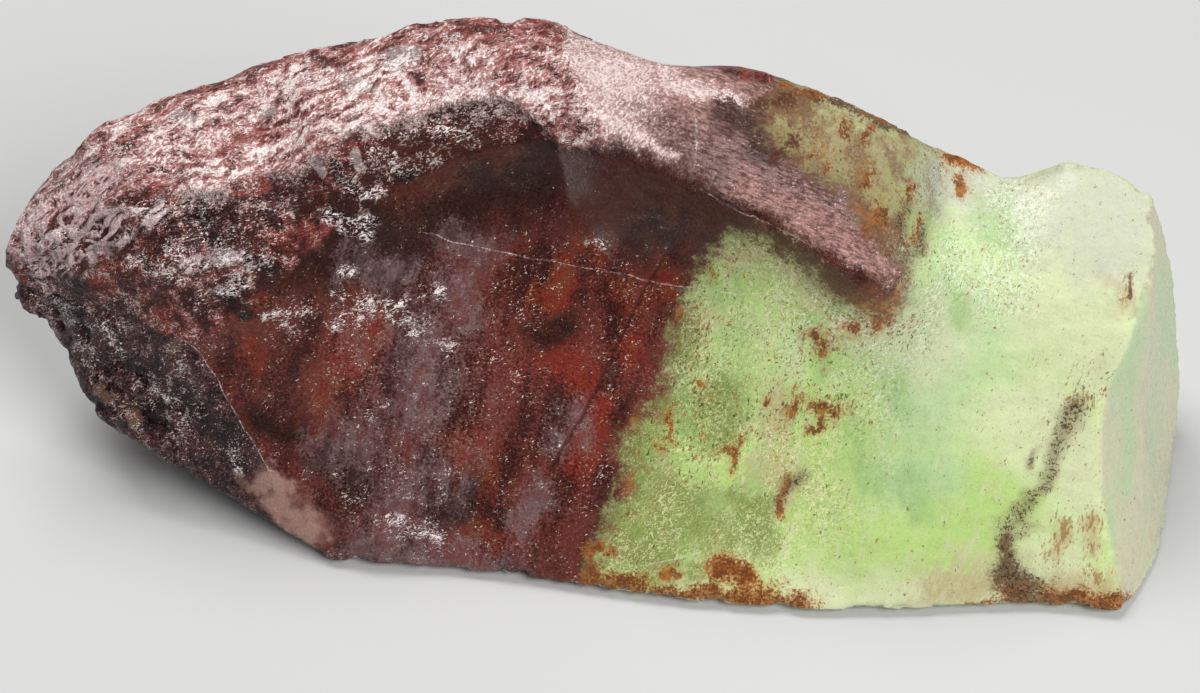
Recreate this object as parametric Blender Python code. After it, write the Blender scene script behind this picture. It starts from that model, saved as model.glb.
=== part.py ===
"""A raw lump of red and green calcite: one broken stone that rests on a flat patch of its underside.

Ridge lines run along the stone from its blunt left end to the broken face at its right end.
The skin is stretched over them, weathered, and cut flat underneath where the stone rests.
Ridge points are in millimetres: +X runs along the stone, -Y is its front, +Z is up.
"""

import bmesh
import bpy
from mathutils import Vector, noise

LENGTH = 0.129  # the finished stone's overall length along X, in metres; all else follows it

RESTING_CUT = 0.0  # height at which the underside is cut flat, in ridge millimetres

# How finely the skin is divided.
ROWS_PER_BAY = 5  # between two neighbouring points of one ridge line
COLUMNS_PER_STRIP = 5  # between two neighbouring ridge lines

# The blunt left tip and the hollow in the broken right face, where all ridge lines meet.
LEFT_TIP = (-63.0, 29.0, 25.0)
RIGHT_HOLLOW = (58.5, 17.0, 14.5)
TIP_BLUNTNESS = 0.85  # 0 leaves a cone at the left tip, 1 a dome

# Each ridge line from left to right, as (x, y, z, crispness of its edge there). In this order
# they go up the front, over the top, down the back and along the underside.
RIDGES = {
    # The front bottom edge. Its left part rises to the tip, clear of the ground.
    "toe": (
        (-60.0, 26.0, 15.0, 0.2), (-50.0, 18.0, 8.0, 0.4), (-29.0, 6.5, 1.0, 0.9),
        (-21.0, 5.5, 1.0, 0.9), (-11.0, 4.5, 1.0, 0.9), (-0.5, 2.5, 1.0, 0.9),
        (10.0, 0.5, 1.0, 0.9), (21.0, -0.5, 1.0, 0.9), (30.5, -1.0, 1.0, 0.9),
        (41.5, 0.0, 1.0, 0.9), (49.5, 0.0, 1.0, 0.9), (56.0, -1.0, 1.0, 0.9),
    ),
    # A third of the way up the broad front face.
    "shin": (
        (-61.5, 27.0, 18.5, 0.0), (-51.5, 20.5, 13.0, 0.0), (-35.0, 12.0, 9.0, 0.0),
        (-24.0, 11.5, 9.5, 0.0), (-13.5, 11.5, 12.0, 0.0), (-1.5, 11.0, 12.0, 0.0),
        (9.5, 11.5, 13.0, 0.0), (21.0, 11.0, 13.5, 0.0), (31.0, 10.0, 13.0, 0.0),
        (42.0, 9.0, 14.0, 0.0), (48.0, 8.0, 12.0, 0.0), (54.0, 7.5, 11.0, 0.0),
    ),
    # The foot of the steep hollow that undercuts the brow.
    "belly": (
        (-61.0, 27.0, 22.5, 0.0), (-51.0, 22.5, 21.0, 0.0), (-41.5, 18.5, 19.0, 0.1),
        (-26.5, 22.5, 26.0, 0.2), (-15.0, 27.5, 27.5, 0.3), (-3.5, 27.0, 27.5, 0.3),
        (8.5, 25.0, 29.0, 0.3), (20.0, 21.0, 28.5, 0.3), (30.5, 16.5, 25.0, 0.2),
        (42.0, 16.5, 23.0, 0.0), (49.0, 16.0, 22.0, 0.0), (54.0, 14.0, 19.5, 0.0),
    ),
    # The overhanging edge between the top slopes and the front. It dies out to the right.
    "brow": (
        (-60.0, 28.5, 27.0, 0.0), (-51.0, 24.5, 28.5, 0.1), (-40.5, 23.0, 30.5, 0.1),
        (-27.5, 28.5, 37.5, 0.3), (-15.5, 33.0, 41.5, 0.5), (-5.0, 32.5, 42.5, 0.8),
        (8.0, 25.5, 40.0, 0.9), (19.0, 20.5, 36.5, 0.9), (30.0, 17.0, 32.0, 0.6),
        (42.5, 23.5, 29.5, 0.0), (50.0, 24.5, 30.0, 0.0), (57.0, 18.5, 26.0, 0.0),
    ),
    # The middle of the two top slopes.
    "deck": (
        (-59.5, 31.0, 30.5, 0.0), (-51.5, 31.5, 34.5, 0.0), (-38.5, 32.0, 36.5, 0.0),
        (-27.5, 35.0, 41.0, 0.0), (-16.5, 37.5, 44.0, 0.0), (-4.5, 35.5, 45.5, 0.0),
        (8.5, 31.5, 42.5, 0.0), (20.0, 29.5, 39.5, 0.0), (31.0, 27.0, 36.0, 0.0),
        (43.0, 30.0, 31.5, 0.0), (51.5, 29.5, 33.0, 0.0), (60.0, 24.5, 30.0, 0.6),
    ),
    # The top edge, where the slopes break over to the back.
    "crest": (
        (-59.5, 35.5, 31.0, 0.2), (-52.0, 38.5, 36.0, 0.4), (-39.0, 42.5, 39.0, 0.5),
        (-27.5, 43.5, 43.0, 0.6), (-17.5, 43.5, 45.5, 0.6), (-5.5, 42.5, 46.5, 0.7),
        (9.0, 38.0, 44.0, 0.7), (21.0, 38.5, 41.0, 0.8), (31.5, 36.5, 37.5, 0.8),
        (44.0, 34.5, 31.5, 0.7), (52.0, 34.5, 34.0, 0.7), (60.0, 31.5, 32.0, 0.7),
    ),
    # The upper back.
    "shoulder": (
        (-58.0, 40.0, 26.0, 0.2), (-50.5, 44.5, 27.5, 0.4), (-37.5, 49.0, 30.0, 0.4),
        (-26.5, 50.5, 32.0, 0.4), (-15.0, 51.0, 33.5, 0.5), (-3.0, 50.5, 33.5, 0.5),
        (10.0, 48.0, 32.0, 0.5), (21.0, 47.0, 29.5, 0.5), (32.0, 44.5, 26.5, 0.5),
        (43.0, 42.0, 21.5, 0.5), (53.0, 40.5, 24.0, 0.5), (64.0, 32.0, 18.0, 0.5),
    ),
    # The lower back, the stone's widest line.
    "flank": (
        (-56.0, 42.0, 21.5, 0.2), (-47.0, 48.5, 18.0, 0.5), (-36.5, 53.0, 18.5, 0.5),
        (-25.0, 56.5, 20.5, 0.5), (-14.0, 58.5, 22.0, 0.6), (-2.0, 55.0, 18.5, 0.4),
        (10.0, 53.0, 16.5, 0.4), (21.0, 54.5, 19.0, 0.6), (32.0, 50.5, 15.5, 0.5),
        (43.0, 46.5, 12.0, 0.5), (54.5, 42.5, 10.0, 0.5), (66.0, 27.5, 4.0, 0.5),
    ),
    # The back bottom edge.
    "heel": (
        (-56.5, 38.5, 17.0, 0.2), (-46.0, 45.5, 9.0, 0.6), (-34.0, 50.0, 4.0, 0.8),
        (-25.0, 53.5, 1.5, 0.8), (-15.0, 55.0, 1.0, 0.8), (-3.0, 54.5, 1.0, 0.8),
        (10.0, 52.0, 1.0, 0.8), (21.0, 50.0, 1.0, 0.8), (32.0, 47.5, 1.0, 0.8),
        (43.0, 44.5, 1.0, 0.8), (54.0, 39.0, 1.0, 0.8), (64.5, 19.0, 0.5, 0.8),
    ),
    # The middle of the underside, a little below the resting face that cuts it.
    "sole": (
        (-58.5, 32.0, 15.5, 0.0), (-46.5, 31.0, 6.0, 0.0), (-31.0, 29.0, -0.5, 0.0),
        (-23.0, 29.0, -1.0, 0.0), (-13.0, 29.0, -1.0, 0.0), (-2.0, 29.0, -1.0, 0.0),
        (10.0, 27.0, -1.0, 0.0), (21.0, 25.0, -1.0, 0.0), (32.0, 24.0, -1.0, 0.0),
        (43.0, 22.0, -1.0, 0.0), (53.0, 17.0, -1.0, 0.0), (61.5, 7.0, -0.3, 0.0),
    ),
}

# Edges that run across the ridge lines: (point number, crispness, the lines that they cross).
CROSS_EDGES = (
    (2, 0.85, ("toe", "shin", "belly")),  # the corner beside the left front facet
    (4, 0.75, ("shoulder", "flank", "heel")),  # between two breaks of the back
    (7, 0.75, ("shoulder", "flank", "heel")),  # between the next two
    (11, 0.9, tuple(RIDGES)),  # the rim of the broken right face
)

# Knobs and scoops of the skin: (x, y, z, reach, height). A scoop has a negative height.
KNOBS = (
    (15.0, 43.0, 40.5, 7.0, 2.2),  # the red knob behind the crest
    (-54.5, 20.5, 10.0, 6.0, 1.6),  # the nubbly patch under the left tip
    (40.0, 37.5, 33.0, 5.0, 1.2),  # the green swelling behind the saddle
    (-32.0, 22.0, 26.5, 8.0, 1.4),  # the corner where the left facet, the front and the top meet
    (-8.0, 27.0, 35.0, 9.0, -1.5),  # the hollow under the brow
    (-36.0, 33.0, 38.0, 7.0, -1.0),  # a worn dip in the left top slope
    (29.0, 5.0, 6.0, 8.0, 0.8),  # the swelling above the front bottom edge
    (32.0, 50.0, 20.0, 13.0, -1.6),  # a shell-shaped break in the back
    (-34.0, 52.0, 22.0, 14.0, -1.6),  # another, towards the left end
)

# Weathering of the whole skin, in millimetres.
SWELL_SIZE = 17.0  # across one swell
SWELL_HEIGHT = 1.1
PEBBLE_SIZE = 6.0  # across one pebble of the rough left end
PEBBLE_HEIGHT = 0.9
PEBBLE_DRIFT = Vector((7.0, 3.0, 5.0))  # keeps the pebbles out of step with the swells
ROUGH_UP_TO = -5.0  # the x where the pebbles start to fade out to the right
ROUGH_FADE = 30.0  # over this distance
STILL_BELOW = 1.0  # the skin is left alone up to this height, so the bottom edges stay in place
FULL_ABOVE = 3.0  # and weathered in full above this one


def travel_directions(points, crispness, closed):
    """The direction of travel at each point of a run, shortened to nothing at a crisp edge."""
    count = len(points)
    directions = []
    for i, point in enumerate(points):
        before = points[i - 1] if i > 0 or closed else point
        after = points[(i + 1) % count] if i < count - 1 or closed else point
        travelled = (point - before).length + (after - point).length
        directions.append((after - before) * (1.0 - crispness[i]) / travelled)
    return directions


def curve_through(points, directions, steps, closed=False):
    """Points of a cubic curve through all of points, with the given steps in each bay."""
    count = len(points)
    run = []
    for i in range(count if closed else count - 1):
        j = (i + 1) % count
        a, b = points[i], points[j]
        span = (b - a).length
        for step in range(steps):
            t = step / steps
            ease = t * t * (3.0 - 2.0 * t)
            leaving = directions[i] * span * t * (1.0 - t) ** 2
            arriving = directions[j] * span * t * t * (t - 1.0)
            run.append(a + (b - a) * ease + leaving + arriving)
    if not closed:
        run.append(points[-1])
    return run


def ridge_line(name):
    """One ridge line from the left tip to the right hollow, as fine points and their crispness."""
    points = [Vector(p[:3]) for p in (LEFT_TIP, *RIDGES[name], RIGHT_HOLLOW)]
    across = [0.0] * len(points)
    for number, crispness, lines in CROSS_EDGES:
        if name in lines:
            across[number + 1] = crispness
    directions = travel_directions(points, across, closed=False)
    off_the_tip = points[1] - points[0]
    off_the_tip.x *= 1.0 - TIP_BLUNTNESS
    directions[0] = off_the_tip.normalized()
    line = curve_through(points, directions, ROWS_PER_BAY)

    along = [0.0] + [p[3] for p in RIDGES[name]] + [0.0]
    crispness = []
    for row in range(len(line)):
        bay, part = divmod(row, ROWS_PER_BAY)
        a, b = along[bay], along[min(bay + 1, len(along) - 1)]
        crispness.append(a + (b - a) * part / ROWS_PER_BAY)
    return line, crispness


def stretch_skin(mesh):
    """Closes a skin of quads over the ridge lines."""
    lines = [ridge_line(name) for name in RIDGES]
    rings = []
    for row in range(len(lines[0][0])):
        points = [line[row] for line, _ in lines]
        if row == 0 or row == len(lines[0][0]) - 1:
            rings.append([mesh.verts.new(points[0])] * (len(lines) * COLUMNS_PER_STRIP))
            continue
        directions = travel_directions(points, [crispness[row] for _, crispness in lines], True)
        ring = curve_through(points, directions, COLUMNS_PER_STRIP, closed=True)
        rings.append([mesh.verts.new(point) for point in ring])
    for left, right in zip(rings, rings[1:]):
        for i in range(len(left)):
            j = (i + 1) % len(left)
            corners = dict.fromkeys((left[i], left[j], right[j], right[i]))
            mesh.faces.new(tuple(corners))


def share(start, end, value):
    """How far value has come on its way from start to end, from 0 to 1."""
    return min(1.0, max(0.0, (value - start) / (end - start)))


def weather_skin(mesh):
    """Moves the skin in and out by the knobs, the swells and the pebbles."""
    mesh.normal_update()
    moved = []
    for vert in mesh.verts:
        place = vert.co
        lift = 0.0
        for x, y, z, reach, height in KNOBS:
            gap = (place - Vector((x, y, z))).length / reach
            lift += height * max(0.0, 1.0 - gap * gap) ** 2
        lift += SWELL_HEIGHT * noise.noise(place / SWELL_SIZE)
        rough = share(ROUGH_UP_TO + ROUGH_FADE, ROUGH_UP_TO, place.x)
        lift += PEBBLE_HEIGHT * rough * noise.noise(place / PEBBLE_SIZE + PEBBLE_DRIFT)
        moved.append(place + vert.normal * lift * share(STILL_BELOW, FULL_ABOVE, place.z))
    for vert, place in zip(mesh.verts, moved):
        vert.co = place


def cut_resting_face(mesh):
    """Cuts the underside flat and closes it with one level face."""
    everything = mesh.verts[:] + mesh.edges[:] + mesh.faces[:]
    cut = bmesh.ops.bisect_plane(
        mesh, geom=everything, dist=1e-4, plane_co=(0, 0, RESTING_CUT), plane_no=(0, 0, -1),
        clear_outer=True,
    )
    rim = [edge for edge in cut["geom_cut"] if isinstance(edge, bmesh.types.BMEdge)]
    bmesh.ops.edgeloop_fill(mesh, edges=rim)


def settle(mesh):
    """Brings the stone to its real length, its underside's middle to the origin."""
    low = [min(vert.co[axis] for vert in mesh.verts) for axis in range(3)]
    high = [max(vert.co[axis] for vert in mesh.verts) for axis in range(3)]
    middle = Vector(((low[0] + high[0]) / 2, (low[1] + high[1]) / 2, low[2]))
    scale = LENGTH / (high[0] - low[0])
    for vert in mesh.verts:
        vert.co = (vert.co - middle) * scale


def stone_material():
    material = bpy.data.materials.new("red and green calcite")
    material.use_nodes = True
    shader = material.node_tree.nodes["Principled BSDF"]
    shader.inputs["Base Color"].default_value = (0.30, 0.17, 0.12, 1.0)
    shader.inputs["Roughness"].default_value = 0.4
    shader.inputs["IOR"].default_value = 1.57
    return material


def build_stone():
    mesh = bmesh.new()
    stretch_skin(mesh)
    bmesh.ops.recalc_face_normals(mesh, faces=mesh.faces)
    weather_skin(mesh)
    cut_resting_face(mesh)
    settle(mesh)
    bmesh.ops.triangulate(mesh, faces=mesh.faces)
    bmesh.ops.recalc_face_normals(mesh, faces=mesh.faces)
    skin = bpy.data.meshes.new("calcite")
    mesh.to_mesh(skin)
    mesh.free()
    skin.materials.append(stone_material())
    stone = bpy.data.objects.new("calcite", skin)
    bpy.context.collection.objects.link(stone)


for old in list(bpy.data.objects):
    bpy.data.objects.remove(old)
build_stone()
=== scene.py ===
import math

import bmesh
import bpy
import numpy as np
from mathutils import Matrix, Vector, noise


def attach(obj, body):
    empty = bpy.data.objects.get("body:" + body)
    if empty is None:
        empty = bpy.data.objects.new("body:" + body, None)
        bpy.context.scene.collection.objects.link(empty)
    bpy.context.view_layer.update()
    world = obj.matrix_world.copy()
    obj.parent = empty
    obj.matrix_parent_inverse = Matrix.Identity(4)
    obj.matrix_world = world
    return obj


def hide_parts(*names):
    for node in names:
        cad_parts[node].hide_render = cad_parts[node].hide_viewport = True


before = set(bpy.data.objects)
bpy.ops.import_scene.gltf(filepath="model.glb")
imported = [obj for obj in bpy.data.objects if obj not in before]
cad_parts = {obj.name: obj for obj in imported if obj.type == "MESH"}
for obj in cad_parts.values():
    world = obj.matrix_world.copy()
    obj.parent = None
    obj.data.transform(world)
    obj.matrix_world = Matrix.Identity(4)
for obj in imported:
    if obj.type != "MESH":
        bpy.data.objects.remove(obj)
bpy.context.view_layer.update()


# --- The broken lump -------------------------------------------------------------------------
# One solid piece of raw red and green calcite, as it broke out of its vein. Its breaks meet in
# crisp edges, and its skin is divided finely enough to carry the weathering that follows.

MM = 0.001
SKIN_GRAIN = 0.53 * MM  # across one small face of the finished skin
CRISP_ANGLE = math.radians(30)  # breaks that meet more sharply than this keep their edge
CRISPNESS = 0.75
WELD = 0.001 * MM  # corners closer than this are one
FLAT_TOGETHER = math.radians(25)  # two triangles flatter than this to each other make a quad
SQUARE_ENOUGH = math.radians(50)


def settle(thing):
    """Makes what a thing's modifiers do to its mesh lasting, and returns that mesh."""
    bpy.context.view_layer.update()
    graph = bpy.context.evaluated_depsgraph_get()
    mesh = bpy.data.meshes.new_from_object(thing.evaluated_get(graph), depsgraph=graph)
    mesh.name = thing.name
    thing.modifiers.clear()
    thing.data = mesh
    return mesh


def quadded_copy(solid):
    """A copy of a solid's loose triangles, joined up into quads, with its crisp edges marked."""
    copy = bmesh.new()
    copy.from_mesh(solid.data)
    bmesh.ops.remove_doubles(copy, verts=copy.verts, dist=WELD)
    bmesh.ops.recalc_face_normals(copy, faces=copy.faces)
    bmesh.ops.join_triangles(
        copy, faces=copy.faces, angle_face_threshold=FLAT_TOGETHER,
        angle_shape_threshold=SQUARE_ENOUGH,
    )
    crease = copy.edges.layers.float.new("crease_edge")
    for edge in copy.edges:
        if edge.calc_face_angle(0.0) > CRISP_ANGLE:
            edge[crease] = CRISPNESS
    mesh = bpy.data.meshes.new("lump")
    copy.to_mesh(mesh)
    copy.free()
    return mesh


stone = bpy.data.objects.new("calcite_skin", quadded_copy(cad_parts["calcite"]))
bpy.context.scene.collection.objects.link(stone)

rounding = stone.modifiers.new("rounding", "SUBSURF")
rounding.levels = rounding.render_levels = 2
dividing = stone.modifiers.new("dividing", "REMESH")
dividing.mode = "VOXEL"
dividing.voxel_size = SKIN_GRAIN
rough_lump = settle(stone)


# --- Where the stone changes -----------------------------------------------------------------
# The stone isn't the same all over: iron has stained one end red, and each break has weathered
# in its own way. The places are marked on the skin as named fields, which the relief and the
# colour both follow.


def at_points(key):
    """What the skin's points hold under a key, as a row of three for each."""
    values = np.empty(len(rough_lump.vertices) * 3)
    rough_lump.vertices.foreach_get(key, values)
    return values.reshape(-1, 3)


skin_points = at_points("co") / MM
skin_facing = at_points("normal")

# Places are given in millimetres on a front view of the stone, seen from 45 degrees above:
# first along the stone, then up the view.
VIEW_RISE = math.radians(45)
UP_THE_VIEW = math.sqrt(0.5)  # the sine and the cosine of the view's rise
FRAYING_SEED = 3  # without it, each run's noise would differ
noise.seed_set(FRAYING_SEED)


def drift(size, seed):
    """A soft random vector at each point of the skin, with lumps of size millimetres."""
    aside = Vector((seed * 17.3, seed * 5.1, -seed * 9.7))
    return np.array([noise.noise_vector(Vector(point) / size + aside) for point in skin_points])


front_view = np.stack(
    [skin_points[:, 0], (skin_points[:, 1] + skin_points[:, 2]) * UP_THE_VIEW], axis=1
)
seen_from_front = (skin_facing[:, 2] - skin_facing[:, 1]) * UP_THE_VIEW


def ease(values, start, end):
    """How far values have come from start to end, from 0 to 1, without corners."""
    part = np.clip((values - start) / (end - start), 0.0, 1.0)
    return part * part * (3.0 - 2.0 * part)


# Behind, the places wander, and everywhere their edges fray a little.
wander = 12.0 * drift(12.0, 7)[:, :2] + 4.5 * drift(4.0, 8)[:, :2]
front_view += ease(seen_from_front, 0.05, -0.25)[:, None] * wander
fraying = 1.1 * drift(3.4, 1)[:, :2] + 0.7 * drift(1.4, 2)[:, :2]


def gap_to_line(points, line):
    """Each point's distance to a line, above 0 on its left side and below 0 on its right."""
    nearest = np.full(len(points), np.inf)
    side = np.ones(len(points))
    for a, b in zip(line, line[1:]):
        a, b = np.array(a, float), np.array(b, float)
        run = b - a
        reach = points - a
        part = np.clip((reach @ run) / max(run @ run, 1e-9), 0.0, 1.0)
        gap = np.linalg.norm(reach - part[:, None] * run, axis=1)
        left = np.sign(run[0] * reach[:, 1] - run[1] * reach[:, 0])
        side = np.where(gap < nearest, left, side)
        nearest = np.minimum(nearest, gap)
    return nearest * side


def depth_inside(points, outline):
    """Each point's distance to an outline, below 0 outside it."""
    x, y = points.T
    inside = np.zeros(len(points), bool)
    for (ax, ay), (bx, by) in zip(outline, outline[1:] + outline[:1]):
        if ay != by:
            inside ^= ((ay > y) != (by > y)) & (x < ax + (y - ay) * (bx - ax) / (by - ay))
    gap = np.abs(gap_to_line(points, outline + outline[:1]))
    return np.where(inside, gap, -gap)


def mark_field(name, values):
    """Stores a field on the skin under a name."""
    rough_lump.attributes.new(name, "FLOAT", "POINT").data.foreach_set("value", values)


# The iron-red end, its edge running up the front and doubling back in a tongue along the brow.
mark_field("red", depth_inside(front_view, [
    (-80, -40), (-6, -30), (-2, -18), (-0.5, -11), (2.0, -7), (1.5, -3), (3, -0.5), (6, 3.5),
    (6.6, 7.5), (7.4, 11), (8.6, 14), (10.4, 17.2), (13, 19.4), (16.2, 19.8), (18.8, 18.4),
    (21.2, 16.2), (24, 14), (26.4, 12.6), (28.5, 11.4), (30.5, 13), (30, 16.5), (27, 20),
    (24.5, 24), (21, 26.5), (17.5, 29), (16, 31.5), (17, 34), (20, 37), (12, 60), (-80, 60),
]))

# The top slopes, above the brow, with the etched rind on the left one and frost, partly
# painted highlight, on the right.
above_brow = depth_inside(front_view, [
    (-80, 15), (-64, 17), (-59, 18), (-53, 22), (-48, 24), (-40, 24), (-32, 26), (-27, 30),
    (-22, 31), (-17, 33), (-11, 34), (-7.4, 31.4), (-5.1, 29), (1, 28), (6.3, 26.2), (9.4, 24.4),
    (15, 22), (23, 17.5), (29, 14), (34, 22), (40, 60), (-80, 60),
])
mark_field("top", above_brow)
turned_back = ease(skin_facing[:, 1], 0.25, 0.6)
left_of_ridge = ease(front_view[:, 0] + 0.5 * (front_view[:, 1] - 36.0), 0.0, -6.0)
mark_field("rind", np.maximum(ease(above_brow, -1.5, 2.0), turned_back) * left_of_ridge)

# The knobbly band that steps down from the rind into the front.
mark_field("knobs", ease(depth_inside(front_view, [
    (-66, 20), (-53, 24), (-40, 25), (-30, 28), (-24.5, 31.5), (-18.8, 33.2), (-13.5, 33.8),
    (-9.3, 33.4), (-5.1, 31.4), (-6.7, 30), (-11.5, 29.2), (-15.8, 28), (-20, 26), (-24, 23.5),
    (-29, 20), (-36, 14), (-44, 8), (-56, 10), (-66, 14),
]), -1.5, 1.5) * ease(seen_from_front, -0.1, 0.2))

# The dark break at the lower left, pitted where it turns up to the tip.
dark_break = ease(depth_inside(front_view, [
    (-66, 16), (-58, 13), (-50, 10), (-45, 8.5), (-41.7, 4.2), (-40.1, 1), (-37.3, -3.5),
    (-36, -7), (-36, -12), (-32, -20), (-30, -40), (-80, -40), (-80, 16),
]), -0.8, 0.8) * ease(skin_facing[:, 1], 0.5, 0.1)
mark_field("dark_break", dark_break)
mark_field("pitted", dark_break * ease(front_view @ (0.8, -0.6), -33.0, -38.0))

# The glassy break that ends the green part.
mark_field("glassy", ease(skin_facing[:, 0], 0.35, 0.6) * ease(skin_points[:, 0], 48.0, 52.0))

# Thin lines: a healed crack, the groove across it, the pale edge of the dark break, the left
# edge of a satin facet, a flake, and the lit lip of the brow and a small ledge, which are both
# painted highlights.
THIN_LINES = {
    "crack": [(-19, 20), (-16.8, 19.2), (-11.6, 18), (-7.8, 17.3), (-4, 16.7), (1, 15.8),
              (4.3, 15), (8.7, 14.2), (13.4, 13.5), (17, 13.6)],
    "groove": [(8, 20), (6.3, 17.7), (4.3, 15), (2.1, 10.7), (0.1, 6.4), (-1, 3.9),
               (-2.7, 0.6), (-5.1, -3.1), (-6, -5)],
    "pale_edge": [(-46, 9.5), (-43.6, 7.5), (-41.7, 4.2), (-40.1, 1), (-37.3, -3.5),
                  (-36.6, -5.1)],
    "satin": [(-5.9, 30.9), (-5.5, 28.7), (-4.9, 25.6), (-4.1, 23), (-2.8, 21.2)],
    "lip": [(10.3, 23.7), (12.5, 22.5), (14.6, 21.5), (17.6, 20.2), (19.7, 19)],
    "flake": [(9.2, 31.5), (9.1, 28.8)],
    "ledge": [(3.4, -15.4), (6.4, -14.8), (9.8, -14.1)],
}
FAR_OFF = 9.0  # what the skin that faces away holds, out of every line's reach
slightly_frayed = front_view + 0.25 * drift(2.0, 3)[:, :2]
for name, line in THIN_LINES.items():
    across = gap_to_line(slightly_frayed, line)
    mark_field(name, np.where(seen_from_front > 0.0, across, FAR_OFF))

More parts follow.
